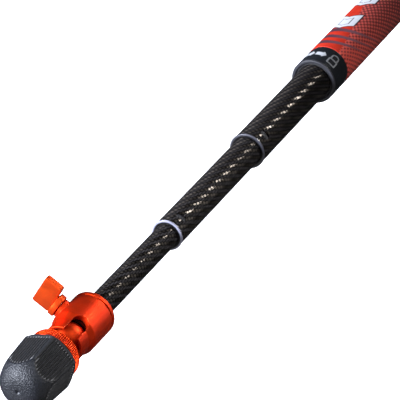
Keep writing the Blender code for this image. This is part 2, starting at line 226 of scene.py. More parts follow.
def put(obj, body, material, slot, *replaced):
    obj.data.materials.clear()
    obj.data.materials.append(material)
    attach(obj, body)
    if replaced:
        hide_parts(*replaced)
    return obj


TO_X = Matrix.Rotation(pi / 2, 4, "Y")


# ------------------------------------------------------------- material helpers
class Finish:
    """A Principled material and small helpers to build its nodes."""

    def __init__(self, name, colour, roughness, metallic=0.0, **sockets):
        self.material = bpy.data.materials.new(name)
        self.material.use_nodes = True
        self.tree = self.material.node_tree
        self.shader = self.tree.nodes["Principled BSDF"]
        self.set(self.shader, "Base Color", (*colour, 1.0))
        self.set(self.shader, "Roughness", roughness)
        self.set(self.shader, "Metallic", metallic)
        for key, value in sockets.items():
            self.set(self.shader, key.replace("_", " "), value)
        self.material.diffuse_color = (*colour, 1.0)
        self._place = None

    def set(self, node, key, value):
        if isinstance(value, bpy.types.NodeSocket):
            self.tree.links.new(value, node.inputs[key])
        else:
            node.inputs[key].default_value = value

    def node(self, kind, settings=None, **inputs):
        made = self.tree.nodes.new("ShaderNode" + kind)
        for key, value in (settings or {}).items():
            setattr(made, key, value)
        for key, value in inputs.items():
            self.set(made, key.replace("_", " "), value)
        return made

    def math(self, operation, a, b=None, c=None, clamp=False):
        made = self.tree.nodes.new("ShaderNodeMath")
        made.operation = operation
        made.use_clamp = clamp
        for i, value in enumerate((a, b, c)):
            if value is not None:
                self.set(made, i, value)
        return made.outputs[0]

    def place(self):
        if self._place is None:
            self._place = self.node("TexCoord").outputs["Object"]
        return self._place

    def xyz(self):
        """The three coordinates of the point in mm."""
        scaled = self.node("VectorMath", {"operation": "SCALE"}, Vector=self.place(), Scale=1000.0).outputs[0]
        split = self.node("SeparateXYZ", Vector=scaled)
        return split.outputs[0], split.outputs[1], split.outputs[2]

    def vector(self, x, y, z):
        return self.node("CombineXYZ", X=x, Y=y, Z=z).outputs[0]

    def noise(self, size, detail=2.0, roughness=0.5, vector=None, stretch=None):
        """Noise with features of about the given size in mm, about 0 to 1."""
        source = vector if vector is not None else self.place()
        if stretch:
            source = self.node("Mapping", {"vector_type": "POINT"}, Vector=source, Scale=stretch).outputs[0]
        scale = 1.0 / (size * (MM if vector is None else 1.0))
        made = self.node("TexNoise", Vector=source, Scale=scale, Detail=detail, Roughness=roughness)
        return made.outputs["Fac"] if "Fac" in made.outputs else made.outputs[0]

    def speckle(self, size, vector=None, spread=1.0, feature="F1"):
        source = vector if vector is not None else self.place()
        scale = 1.0 / (size * (MM if vector is None else 1.0))
        made = self.node("TexVoronoi", {"feature": feature}, Vector=source, Scale=scale, Randomness=spread)
        return made.outputs["Distance"]

    def ramp(self, value, low, high, to_low=0.0, to_high=1.0, smooth_step=True):
        made = self.node("MapRange", {"interpolation_type": "SMOOTHSTEP" if smooth_step else "LINEAR"})
        made.clamp = True
        for key, v in zip(("Value", "From Min", "From Max", "To Min", "To Max"), (value, low, high, to_low, to_high)):
            self.set(made, key, v)
        return made.outputs[0]

    def mix(self, amount, a, b, blend="MIX"):
        made = self.tree.nodes.new("ShaderNodeMix")
        made.data_type = "RGBA"
        made.blend_type = blend
        self.set(made, 0, amount)
        for index, value in ((6, a), (7, b)):
            self.set(made, index, (*value, 1.0) if isinstance(value, tuple) else value)
        return made.outputs[2]

    def bump(self, height, distance, strength=1.0, normal=None):
        """Bump from a height of 0 to 1; distance is its depth in mm."""
        made = self.node("Bump", Height=height, Distance=distance * MM, Strength=strength)
        if normal is not None:
            self.set(made, "Normal", normal)
        return made.outputs[0]

    def edges(self, radius):
        """About 1 on edges rounder than the given radius in mm, 0 on flats."""
        rounded = self.node("Bevel", {"samples": 4}, Radius=radius * MM).outputs[0]
        flat = self.node("NewGeometry").outputs["Normal"]
        same = self.node("VectorMath", {"operation": "DOT_PRODUCT"})
        self.set(same, 0, rounded)
        self.set(same, 1, flat)
        return self.ramp(same.outputs["Value"], 0.995, 0.90)

    def round_normal(self, radius):
        return self.node("Bevel", {"samples": 6}, Radius=radius * MM).outputs[0]

    def out(self, **sockets):
        for key, value in sockets.items():
            self.set(self.shader, key.replace("_", " "), value)
        return self.material


# ------------------------------------------------------------------- materials
def anodised(name, bright, deep, roughness, grain=0.05, round_edge=0.25, groove=None):
    """Satin anodised aluminium: a bead-blasted grain, faint colour drift, and
    paler, smoother edges where handling has polished the colour."""
    m = Finish(name, bright, roughness, 0.88, Specular_IOR_Level=0.3)
    drift = m.noise(14.0, 3.0)
    colour = m.mix(m.ramp(drift, 0.3, 0.75), deep, bright)
    if groove:                       # painted shade at the bottom of a knurl's grooves
        x, y, z = m.xyz()
        radius = m.math("SQRT", m.math("ADD", m.math("MULTIPLY", x, x), m.math("MULTIPLY", y, y)))
        low = m.math("MULTIPLY", m.ramp(radius, groove[0], groove[1], 1.0, 0.0), m.ramp(radius, groove[0] - 1.2, groove[0] - 0.8))
        colour = m.mix(m.math("MULTIPLY", low, 0.85), colour, tuple(c * 0.16 for c in deep))
    fine = m.noise(0.22, 3.0, 0.65)
    colour = m.mix(m.ramp(fine, 0.35, 0.7, 0.0, 0.22), colour, tuple(min(1.0, c * 1.25 + 0.01) for c in bright))
    edge_wear_and_sheen = m.math("MULTIPLY", m.edges(0.35), m.ramp(m.noise(3.0, 4.0, 0.7), 0.42, 0.62, 0.15, 1.0))
    colour = m.mix(m.math("MULTIPLY", edge_wear_and_sheen, 0.12 if groove else 0.55), colour, (0.90, 0.20, 0.08))
    rough = m.math("ADD", m.ramp(m.noise(5.0, 4.0, 0.6), 0.3, 0.7, roughness - 0.04, roughness + 0.06),
                   m.math("MULTIPLY", edge_wear_and_sheen, -0.10))
    normal = m.bump(fine, grain, 0.6, m.round_normal(round_edge))
    return m.out(Base_Color=colour, Roughness=rough, Normal=normal)


def moulded(name, colour, roughness, grain=0.06, size=0.35, lift=1.6, slick=0.0, shine=0.4, dark_within=None,
            dark_below=None):
    """Moulded plastic with a fine spark-eroded texture and edges painted paler as a highlight."""
    m = Finish(name, colour, roughness, 0.0, Specular_IOR_Level=shine)
    drift = m.ramp(m.noise(11.0, 3.0), 0.3, 0.7)
    body = m.mix(drift, tuple(c * 0.82 for c in colour), tuple(c * 1.15 for c in colour))
    # painted highlight: rounded edges are painted paler, as a sheen
    edge_sheen = m.math("MULTIPLY", m.edges(0.4), m.ramp(m.noise(2.2, 4.0, 0.7), 0.4, 0.65, 0.2, 1.0))
    body = m.mix(m.math("MULTIPLY", edge_sheen, 0.5), body, tuple(min(1.0, c * lift + 0.02) for c in colour))
    if dark_within:                  # painted shade: the inner part of the face, by the gap round the tube, is painted near black
        x, y, z = m.xyz()
        radius = m.math("SQRT", m.math("ADD", m.math("MULTIPLY", x, x), m.math("MULTIPLY", y, y)))
        body = m.mix(m.ramp(radius, dark_within - 0.12, dark_within + 0.12, 1.0, 0.0), body, (0.0075, 0.0075, 0.009))
    pits = m.noise(size, 3.0, 0.6)
    rough = m.math("ADD", m.ramp(m.noise(4.0, 3.0), 0.3, 0.7, roughness - 0.05, roughness + 0.05),
                   m.math("MULTIPLY", edge_sheen, -0.08 - slick))
    if dark_below:                   # painted shade: the spigot and its tab are painted darker than the ring, and left matt
        below = m.ramp(m.xyz()[2], dark_below - 0.1, dark_below + 0.1, 1.0, 0.0)
        body = m.mix(below, body, (0.013, 0.013, 0.017))
        rough = m.math("ADD", rough, m.math("MULTIPLY", below, 0.35))
    return m.out(Base_Color=body, Roughness=rough, Normal=m.bump(pits, grain, 0.7, m.round_normal(0.2)))


def machined(name, colour, roughness, axis="z", dark=0.6):
    """Turned metal: fine tool marks round the axis and a faint tarnish."""
    m = Finish(name, colour, roughness, 1.0)
    x, y, z = m.xyz()
    along = z if axis == "z" else x
    radius = m.math("SQRT", m.math("ADD", m.math("MULTIPLY", y, y), m.math("MULTIPLY", x if axis == "z" else z, x if axis == "z" else z)))
    lines = m.noise(0.09, 2.0, 0.6, m.vector(along, radius, 0.0))
    tarnish = m.ramp(m.noise(4.0, 4.0, 0.6), 0.35, 0.75)
    body = m.mix(m.math("MULTIPLY", tarnish, 0.45), colour, tuple(c * dark for c in colour))
    body = m.mix(m.ramp(lines, 0.3, 0.7, 0.0, 0.25), body, tuple(min(1.0, c * 1.25) for c in colour))
    rough = m.ramp(lines, 0.25, 0.75, roughness - 0.06, roughness + 0.10)
    return m.out(Base_Color=body, Roughness=rough, Normal=m.bump(lines, 0.02, 0.5))


def carbon_cloth(name, warps, weft, phase=0.0, glow=1.0):
    """Clear-coated 2 by 2 twill: narrow tows run along the tube and wide ones
    round it. The round-running tows catch the light in one narrow line."""
    m = Finish(name, (0.02, 0.018, 0.016), 0.5, 0.0, Specular_IOR_Level=0.02, Anisotropic=0.90)
    x, y, z = m.xyz()
    around = m.math("MULTIPLY", m.math("ARCTAN2", y, x), warps / (2 * pi))
    along = m.math("DIVIDE", m.math("ADD", z, phase), weft)
    i, j = m.math("FLOOR", around), m.math("FLOOR", along)
    fu = m.math("SUBTRACT", m.math("SUBTRACT", around, i), 0.5)
    fv = m.math("SUBTRACT", m.math("SUBTRACT", along, j), 0.5)
    k = m.math("FLOORED_MODULO", m.math("SUBTRACT", i, j), 4.0)
    over = m.math("LESS_THAN", k, 1.5)
    # how far along its float the tow is, 0 to 1
    p_weft = m.math("MULTIPLY", m.math("FLOORED_MODULO", m.math("SUBTRACT", around, j), 4.0), 0.5)
    p_warp = m.math("MULTIPLY", m.math("SUBTRACT", 3.0, m.math("FLOORED_MODULO", m.math("SUBTRACT", i, along), 4.0)), 0.5)

    def crown_of(across, along_float):
        side = m.math("SUBTRACT", 1.0, m.math("MULTIPLY", m.math("MULTIPLY", across, across), 4.0))
        arch = m.math("MULTIPLY", m.math("MULTIPLY", along_float, m.math("SUBTRACT", 1.0, along_float)), 4.0)
        return m.math("MULTIPLY", m.math("SQRT", m.math("MAXIMUM", side, 0.0)),
                      m.math("SQRT", m.math("MAXIMUM", arch, 0.0)))

    weft_h, warp_h = crown_of(fv, p_weft), crown_of(fu, p_warp)
    height = m.math("ADD", m.math("MULTIPLY", weft_h, over), m.math("MULTIPLY", warp_h, m.math("SUBTRACT", 1.0, over)))
    fibre_weft = m.noise(0.11, 2.0, 0.6, m.vector(m.math("MULTIPLY", around, 0.16), z, 3.0))
    fibre_warp = m.noise(0.11, 2.0, 0.6, m.vector(m.math("MULTIPLY", around, 1.2), m.math("MULTIPLY", z, 0.05), 9.0))
    fibre = m.math("ADD", m.math("MULTIPLY", fibre_weft, over),
                   m.math("MULTIPLY", fibre_warp, m.math("SUBTRACT", 1.0, over)))
    tow_tone = m.node("TexWhiteNoise", {"noise_dimensions": "2D"},
                      Vector=m.vector(m.math("MULTIPLY", i, m.math("SUBTRACT", 1.0, over)), j, 0.0)).outputs["Value"]
    tone = m.math("ADD", m.ramp(fibre, 0.25, 0.75, 0.55, 1.15), m.math("MULTIPLY", tow_tone, 0.25))
    # painted highlight and shade: each tow is painted brighter on its crown and darker towards its sides and ends
    tow_light_and_shade = m.math("MULTIPLY", tone, m.ramp(height, 0.25, 0.95, 0.06, 1.15))
    weft_colour = m.mix(m.ramp(height, 0.25, 0.9), (0.012 * glow, 0.009 * glow, 0.007 * glow), (0.072 * glow, 0.062 * glow, 0.053 * glow))
    base = m.mix(over, (0.024, 0.0222, 0.0235), weft_colour)
    base = m.mix(1.0, base, m.node("CombineColor", Red=tow_light_and_shade, Green=tow_light_and_shade, Blue=tow_light_and_shade).outputs[0], "MULTIPLY")
    rough = m.math("ADD", m.math("MULTIPLY", over, -0.33), m.ramp(m.noise(7.0, 3.0), 0.3, 0.7, 0.74, 0.80))
    metal = over
    m.set(m.shader, "Anisotropic Rotation", m.math("MULTIPLY", over, 0.25))
    m.set(m.shader, "Tangent", m.node("Tangent", {"direction_type": "RADIAL", "axis": "Z"}).outputs[0])
    return m.out(Base_Color=base, Roughness=rough, Metallic=metal, Normal=m.bump(height, 0.05, 0.35))


def printed_tube(name):
    """Gloss print on the grip tube: a bright red field, dark swooshes, plain
    white chevrons with a dark outline, and a halftone that darkens to the butt."""
    m = Finish(name, (0.62, 0.03, 0.02), 0.5, 0.0, Specular_IOR_Level=0.22)
    x, y, z = m.xyz()
    f = radians(FRONT)
    ahead = m.math("ADD", m.math("MULTIPLY", x, cos(f)), m.math("MULTIPLY", y, sin(f)))
    left = m.math("ADD", m.math("MULTIPLY", x, -sin(f)), m.math("MULTIPLY", y, cos(f)))
    psi = m.math("MULTIPLY", m.math("ARCTAN2", left, ahead), 180 / pi)      # degrees from the front, + to the thumb screw's side
    arc_mm = m.math("MULTIPLY", psi, 16.0 * pi / 180)

    # the bright field's ragged right edge, and its far edge behind the tube
    edge = m.math("ADD", 5.0, m.math("MULTIPLY", m.math("POWER", m.math("MAXIMUM", m.math("SUBTRACT", 557.0, z), 0.0), 1.2), 0.24))
    stepped = m.math("MULTIPLY", m.math("SINE", m.math("MULTIPLY", z, 2.2)), 1.6)
    field = m.math("MULTIPLY", m.ramp(m.math("SUBTRACT", psi, m.math("ADD", edge, stepped)), -0.5, 0.5),
                   m.ramp(psi, 128.0, 131.0, 1.0, 0.0))
    field = m.math("MULTIPLY", field, m.ramp(z, 395.0, 430.0))

    # halftone: two sets of diagonal lines whose crossings make the dots
    wave_a = m.math("COSINE", m.math("MULTIPLY", m.math("ADD", m.math("DIVIDE", arc_mm, 3.351), m.math("DIVIDE", z, 5.4)), 2 * pi))
    wave_b = m.math("COSINE", m.math("MULTIPLY", m.math("SUBTRACT", m.math("DIVIDE", arc_mm, 3.351), m.math("DIVIDE", z, 5.4)), 2 * pi))
    dots = m.math("MULTIPLY", m.math("ADD", wave_a, wave_b), 0.5)
    depth = m.math("MAXIMUM", m.ramp(z, 566.0, 440.0, 0.18, 0.95, False),
                   m.ramp(m.math("ABSOLUTE", m.math("ADD", psi, 175.0)), 60.0, 170.0, 0.75, 0.0))
    depth = m.math("MINIMUM", m.math("ADD", depth, m.ramp(z, 430.0, 250.0, 0.0, 0.6)), 1.0)
    cover = m.ramp(m.math("ADD", dots, m.math("SUBTRACT", m.math("MULTIPLY", depth, 1.10), 0.50)), -0.18, 0.30)
    light_red = m.mix(depth, (0.86, 0.110, 0.080), (0.46, 0.090, 0.077))
    dark_red = m.mix(depth, (0.26, 0.034, 0.032), (0.105, 0.026, 0.025))
    tone = m.mix(cover, light_red, dark_red)
    bright = m.mix(m.ramp(m.noise(9.0, 2.0), 0.3, 0.7), (0.48, 0.024, 0.011), (0.56, 0.034, 0.016))
    tone = m.mix(field, tone, bright)

    # three swooshes across the field that thin out over the halftone
    behind = m.math("SUBTRACT", 45.0, psi)
    bow = m.math("MULTIPLY", m.math("MULTIPLY", behind, behind), -0.0027)
    for at, wide in ((551.0, 1.0), (541.0, 1.05), (529.6, 1.15)):
        line = m.math("ADD", bow, at)
        half = m.math("MULTIPLY", m.ramp(psi, -50.0, 70.0, 0.75, 2.8, False), wide)
        off = m.math("ABSOLUTE", m.math("SUBTRACT", z, line))
        band = m.ramp(m.math("SUBTRACT", off, half), -0.25, 0.25, 1.0, 0.0)
        band = m.math("MULTIPLY", band, m.math("MULTIPLY", m.ramp(psi, -62.0, -40.0), m.ramp(psi, 100.0, 122.0, 1.0, 0.0)))
        ink = m.mix(m.ramp(psi, -10.0, 60.0), (0.20, 0.085, 0.105), (0.055, 0.030, 0.045))
        tone = m.mix(m.math("MULTIPLY", band, m.ramp(psi, -60.0, 10.0, 0.55, 0.95)), tone, ink)

    # plain chevrons, each with an inner line
    for at in (512.5, 471.0, 429.5, 388.0):
        s = m.math("ABSOLUTE", m.math("SUBTRACT", arc_mm, 15.0))
        t = m.math("ADD", m.math("SUBTRACT", z, at + 3.5), m.math("MULTIPLY", s, 0.75))
        inner = m.math("MAXIMUM", m.math("SUBTRACT", m.math("ABSOLUTE", t), 9.8), m.math("SUBTRACT", s, 8.4))
        outline = m.ramp(inner, 0.85, 1.05, 1.0, 0.0)
        white = m.ramp(inner, -0.15, 0.1, 1.0, 0.0)
        line = m.ramp(m.math("ABSOLUTE", m.math("ADD", inner, 4.4)), 0.30, 0.50, 1.0, 0.0)
        tone = m.mix(outline, tone, (0.014, 0.010, 0.012))
        tone = m.mix(white, tone, (0.60, 0.62, 0.66))
        tone = m.mix(line, tone, (0.10, 0.09, 0.10))

    butt = m.ramp(z, 60.0, 190.0, 1.0, 0.0)
    tone = m.mix(m.math("MULTIPLY", butt, 0.9), tone, (0.020, 0.017, 0.017))
    scuff = m.math("MULTIPLY", m.ramp(m.noise(1.4, 5.0, 0.75, stretch=(1.0, 1.0, 0.22)), 0.62, 0.75), 0.10)
    tone = m.mix(scuff, tone, (0.62, 0.56, 0.55))
    rough = m.math("ADD", m.ramp(m.noise(6.0, 4.0, 0.6), 0.3, 0.7, 0.46, 0.58), scuff)
    peel = m.noise(1.6, 2.0)
    return m.out(Base_Color=tone, Roughness=rough, Normal=m.bump(peel, 0.012, 0.5))


def rubber_skin(name, colour, roughness, grain, size, lift, shine=0.4, edge_wear_and_sheen=0.35):
    """Moulded rubber: matt, with a leather-like grain and raised edges painted greyer as a highlight."""
    m = Finish(name, colour, roughness, 0.0, Specular_IOR_Level=shine)
    drift = m.ramp(m.noise(9.0, 4.0, 0.6), 0.3, 0.7)
    body = m.mix(drift, tuple(c * 0.8 for c in colour), tuple(c * 1.2 for c in colour))
    relief = m.math("ADD", m.math("MULTIPLY", m.speckle(size), 0.8), m.math("MULTIPLY", m.noise(size * 0.6, 3.0, 0.7), 0.5))
    body = m.mix(m.ramp(relief, 0.35, 0.9, 0.0, 0.35), body, tuple(c * lift for c in colour))
    # painted highlight: raised edges are painted greyer
    edge_sheen = m.math("MULTIPLY", m.edges(edge_wear_and_sheen), m.ramp(m.noise(1.6, 4.0, 0.7), 0.35, 0.6, 0.3, 1.0))
    body = m.mix(m.math("MULTIPLY", edge_sheen, 0.45), body, tuple(min(1.0, c * lift * 1.8 + 0.015) for c in colour))
    rough = m.ramp(m.noise(5.0, 4.0, 0.6), 0.3, 0.7, roughness - 0.06, roughness + 0.06)
    return m.out(Base_Color=body, Roughness=rough, Normal=m.bump(relief, grain, 0.9))


def foot_skin(name):
    """The rubber foot: grained on the dome, fine on the ribbed sides. The ribs' tops are
    painted paler as a highlight, and the grooves between them are painted darker as shade."""
    m = Finish(name, (0.010, 0.011, 0.014), 0.45, 0.0, Specular_IOR_Level=0.42)
    x, y, z = m.xyz()
    radius = m.math("SQRT", m.math("ADD", m.math("MULTIPLY", x, x), m.math("MULTIPLY", y, y)))
    turn = m.math("SUBTRACT", m.math("ARCTAN2", y, x), radians(15.0 - 30.0))
    local = m.math("SUBTRACT", m.math("FLOORED_MODULO", turn, pi / 3), pi / 6)
    across = m.math("MULTIPLY", radius, m.math("SINE", local))
    wave = m.math("ADD", m.math("MULTIPLY", m.math("COSINE", m.math("MULTIPLY", across, 2 * pi / 1.7)), 0.5), 0.5)
    lift = m.math("SUBTRACT", z, 994.8)
    sphere = m.math("SQRT", m.math("ADD", m.math("MULTIPLY", radius, radius), m.math("MULTIPLY", lift, lift)))
    wall = m.math("MULTIPLY", m.math("MAXIMUM", m.ramp(sphere, 17.05, 17.3, 1.0, 0.0), m.ramp(z, 994.0, 995.5, 1.0, 0.0)), m.ramp(z, 1004.5, 1005.5, 1.0, 0.0))
    panel = m.math("MULTIPLY", wall, m.ramp(m.math("ABSOLUTE", across), 7.7, 8.1, 1.0, 0.0))
    panel = m.math("MULTIPLY", panel, m.ramp(z, 976.2, 976.8))
    grain = m.math("ADD", m.math("MULTIPLY", m.speckle(0.9), 0.8), m.math("MULTIPLY", m.noise(0.5, 3.0, 0.7), 0.5))
    relief = m.math("MULTIPLY", grain, m.math("SUBTRACT", 1.0, m.math("MULTIPLY", wall, 0.85)))
    drift = m.ramp(m.noise(8.0, 4.0, 0.6), 0.3, 0.7)
    body = m.mix(drift, (0.0028, 0.0034, 0.0058), (0.0048, 0.0056, 0.0090))
    body = m.mix(m.ramp(grain, 0.35, 0.95, 0.0, 0.4), body, (0.016, 0.018, 0.024))
    highlight_patches = m.ramp(m.noise(1.3, 4.0, 0.7, stretch=(1.0, 1.0, 0.35)), 0.35, 0.65, 0.45, 1.0)
    # painted shade and highlight: the grooves between the ribs are painted darker and the rib tops paler
    ribbed = m.mix(m.ramp(wave, 0.15, 0.55), (0.0020, 0.0020, 0.0028), (0.0045, 0.0046, 0.0062))
    ribbed = m.mix(m.math("MULTIPLY", m.ramp(wave, 0.72, 0.97), highlight_patches), ribbed, (0.018, 0.0187, 0.0245))
    body = m.mix(panel, body, ribbed)
    # painted highlights: paler dots where each rib ends at the rim and at the dome
    near_dome = m.math("MULTIPLY", m.math("MULTIPLY", m.ramp(sphere, 16.6, 16.85), m.ramp(sphere, 17.05, 17.25, 1.0, 0.0)), m.ramp(z, 1004.5, 1005.5, 1.0, 0.0))
    rib_end_highlight = m.math("MAXIMUM", m.math("MULTIPLY", near_dome, m.ramp(z, 995.0, 996.0)),
                  m.math("MULTIPLY", m.ramp(z, 976.3, 976.8), m.ramp(z, 977.2, 977.8, 1.0, 0.0)))
    rib_end_highlight = m.math("MULTIPLY", m.math("MULTIPLY", rib_end_highlight, m.ramp(wave, 0.55, 0.85)), m.ramp(m.math("ABSOLUTE", across), 7.9, 8.4, 1.0, 0.0))
    body = m.mix(m.math("MULTIPLY", rib_end_highlight, highlight_patches), body, (0.22, 0.22, 0.23))
    rough = m.math("ADD", m.ramp(m.noise(5.0, 4.0, 0.6), 0.3, 0.7, 0.37, 0.46), m.math("MULTIPLY", wall, 0.35))
    return m.out(Base_Color=body, Roughness=rough, Normal=m.bump(relief, 0.36, 1.0))


ORANGE = anodised("orange_anodised", (0.60, 0.060, 0.0050), (0.48, 0.040, 0.0035), 0.50)
ORANGE_HEAD = anodised("orange_head", (0.60, 0.031, 0.0012), (0.48, 0.020, 0.001), 0.50)
ORANGE_BALL = anodised("orange_ball", (0.56, 0.036, 0.0025), (0.46, 0.025, 0.002), 0.44, grain=0.02)
ORANGE_KNURL = anodised("orange_knurl", (0.86, 0.056, 0.002), (0.72, 0.040, 0.0015), 0.42, grain=0.02, round_edge=0.05, groove=(15.20, 15.50))
RED_PRINT = printed_tube("red_print")
COLLAR_BLACK = moulded("collar_black", (0.0125, 0.0140, 0.0175), 0.56, 0.03, 0.30, 2.2, shine=0.14)
BUTT_BLACK = moulded("butt_black", (0.016, 0.016, 0.018), 0.50, 0.08, 0.45, 1.8)
LIP_GREY = moulded("lip_grey", (0.026, 0.026, 0.032), 0.48, 0.02, 0.30, 1.8, shine=0.35)
RING_GREY = moulded("ring_grey", (0.050, 0.050, 0.064), 0.34, 0.02, 0.25, 1.5, shine=0.5, dark_within=11.15,
                    dark_below=span("section_1_tube")[2] - 2.0)
RING_LIGHT = moulded("ring_light", (0.24, 0.24, 0.31), 0.44, 0.02, 0.25, 1.3, shine=0.35, dark_within=9.05,
                     dark_below=span("section_2_tube")[2] - 2.0)
NYLON = moulded("natural_nylon", (0.56, 0.54, 0.48), 0.45, 0.02, 0.3, 1.15)
PRINT_WHITE = moulded("print_white", (0.58, 0.60, 0.64), 0.50, 0.02, 0.2, 1.05)
PRINT_GREY = moulded("print_grey", (0.30, 0.31, 0.33), 0.50, 0.02, 0.2, 1.05)
STEEL = machined("machined_steel", (0.58, 0.58, 0.59), 0.28)
STEEL_X = machined("machined_steel_x", (0.58, 0.58, 0.59), 0.28, axis="x")
# painted shade: the pressure cup is painted dark red, like the orange wall in shade inside the slot
CUP_PAINTED_SHADE = machined("cup_steel_painted_shade", (0.050, 0.012, 0.009), 0.45)
BRASS = machined("machined_brass", (0.72, 0.50, 0.20), 0.30)
SEAL_RUBBER = rubber_skin("seal_rubber", (0.012, 0.012, 0.013), 0.62, 0.02, 0.5, 1.8)
PAD_RUBBER = rubber_skin("pad_rubber", (0.017, 0.017, 0.019), 0.70, 0.05, 0.7, 2.0)
FOOT_RUBBER = foot_skin("foot_rubber")
CARBON_1 = carbon_cloth("carbon_twill_1", 60, 2.92, 0.6)
CARBON_2 = carbon_cloth("carbon_twill_2", 48, 2.75, 1.5)
CARBON_3 = carbon_cloth("carbon_twill_3", 40, 2.62, 0.4, 0.6)

# ------------------------------------------------------------- grip tube and butt
R, Z0, Z1 = span("outer_tube")
tube = lathe("grip_tube", filleted([(R, Z1, 0.3), (R, Z0, 0.3), (R - 1.8, Z0, 0.2), (R - 1.8, Z1, 0.2)]), 192)
put(tube, "outer_tube", RED_PRINT, "red_print", "outer_tube")

R, Z0, Z1 = span("butt_cap")
shoulder = 8.0


def flute(r, z, a):
    if r > R - 0.6 and 3.2 < z < shoulder - 0.9:
        depth = min(1.0, (z - 3.2) / 0.5, (shoulder - 0.9 - z) / 0.5)
        return r - 0.42 * depth * max(0.0, cos(36 * a)) ** 2, z
    return r, z


cap_profile = filleted([
    (R - 0.05, shoulder, 0.4), (R - 0.05, Z0 + 1.2, 0.8), (R - 1.2, Z0, 0.5), (6.1, Z0, 0.3), (6.1, Z1, 0.3),
    (R - 3.0, Z1, 0.4), (R - 1.95, Z1 - 1.6, 0.3), (R - 1.95, shoulder, 0.1)])
cap = lathe("butt_cap_moulding", densify(cap_profile, 0.6), 360, shift=flute)
put(cap, "outer_tube", BUTT_BLACK, "black_plastic", "butt_cap")

R, Z0, Z1 = span("butt_pad")
pad_profile = [(R, Z1, 0.3), (R, Z0, 0.45)]
for ring in (13.6, 11.7, 9.8, 7.9):
    pad_profile += [(ring + 0.45, Z0, 0.12), (ring + 0.3, Z0 + 0.5, 0.1), (ring - 0.3, Z0 + 0.5, 0.1), (ring - 0.45, Z0, 0.12)]
pad_profile += [(6.4, Z0, 0.3), (6.4, Z1, 0.2)]
pad = lathe("butt_pad_tread", filleted(pad_profile, steps=3), 144)
put(pad, "outer_tube", PAD_RUBBER, "rubber", "butt_pad")


def ridge(z, a, pitch):
    """Height of a 60 degree thread at this place, 0 in the groove to 1 on the crest."""
    t = (z / pitch - a / (2 * pi)) % 1.0
    return min(1.0, max(0.0, 1.25 - abs(t - 0.5) * 2 * 1.25 - 0.12))


R, Z0, Z1 = span("butt_thread_insert")


def inner_thread(r, z, a):
    if r < 3.6:
        fade = min(1.0, max(0.0, (z - Z0) / 0.8), max(0.0, (Z1 - z) / 0.8))
        return 3.25 - 0.5 * fade * ridge(z, a, 1.27), z
    if r > R - 0.15 and Z0 + 1.2 < z < Z1 - 1.2:
        return r - 0.12 * (0.5 + 0.5 * cos(60 * a)), z
    return r, z


insert_profile = densify(filleted([(R, Z1, 0.4), (R, Z0, 0.4), (3.3, Z0, 0.2), (3.3, Z1, 0.2)], steps=3), 0.16)
insert = lathe("butt_thread_bush", insert_profile, 240, shift=inner_thread)
put(insert, "outer_tube", BRASS, "brass", "butt_thread_insert")

# -------------------------------------------------------------- twist-lock collar
R, Z0, Z1 = span("twist_collar")
R -= 0.05
COLLAR_R = R
collar = lathe("collar_shell", filleted([
    (R, Z1, 0.25), (R, Z0 + 1.6, 0.0), (R, Z0, 0.35), (14.65, Z0, 0.3), (14.65, Z1, 0.2)], steps=6), 192)
put(collar, "collar", COLLAR_BLACK, "black_plastic", "twist_collar")

R, Z0, Z1 = span("collar_mouth_ring")
lip = lathe("collar_mouth_lip", filleted([
    (R, Z1, 1.0), (R, Z0, 0.15), (13.5, Z0, 0.15), (13.5, Z1, 1.05)], steps=10), 192)
put(lip, "collar", LIP_GREY, "grey_plastic", "collar_mouth_ring")

R, Z0, Z1 = span("wiper_ring")
wiper = lathe("wiper_seal", filleted([
    (R - 0.05, Z1, 0.25), (R - 0.05, Z0, 0.2), (R - 0.8, Z0, 0.3), (12.15, Z1 - 0.35, 0.15), (12.2, Z1, 0.2)], steps=5), 160)
put(wiper, "collar", SEAL_RUBBER, "rubber", "wiper_ring")


def printed_mark(name, loops, centre_deg, centre_z, material, slot):
    """A thin printed mark on the collar. Loops are closed outlines of (around, along)
    in mm, seen from outside; around grows to the thumb screw's side."""
    curve = bpy.data.curves.new(name, "CURVE")
    curve.dimensions = "2D"
    curve.fill_mode = "BOTH"
    curve.extrude = 0.015 * MM
    for loop in loops:
        line = curve.splines.new("POLY")
        line.points.add(len(loop) - 1)
        for point, (s, t) in zip(line.points, loop):
            point.co = (s * MM, t * MM, 0.0, 1.0)
        line.use_cyclic_u = True
    flat = new_object(name + "_flat", curve)
    bpy.context.view_layer.update()
    mesh = bpy.data.meshes.new_from_object(flat.evaluated_get(bpy.context.evaluated_depsgraph_get()))
    bpy.data.objects.remove(flat, do_unlink=True)
    shape = bmesh.new()
    shape.from_mesh(mesh)
    bmesh.ops.remove_doubles(shape, verts=shape.verts, dist=1e-7)
    for k in range(-16, 17):
        bmesh.ops.bisect_plane(shape, geom=list(shape.verts) + list(shape.edges) + list(shape.faces),
                               plane_co=(k * 0.5 * MM, 0, 0), plane_no=(1, 0, 0))
    for vert in shape.verts:
        a = radians(centre_deg + FRONT) + vert.co.x / (COLLAR_R * MM)
        r = (COLLAR_R + 0.018) * MM + vert.co.z
        vert.co = (r * cos(a), r * sin(a), centre_z * MM + vert.co.y)
    shape.to_mesh(mesh)
    shape.free()
    outward(mesh)
    mark = new_object(name, mesh)
    return put(mark, "collar", material, slot)


def rounded_loop(points, steps=5):
    return filleted(points, True, steps)


def arc_points(cx, cy, r, a0, a1, steps=14):
    return [(cx + r * cos(radians(a0 + (a1 - a0) * k / steps)), cy + r * sin(radians(a0 + (a1 - a0) * k / steps)))
            for k in range(steps + 1)]


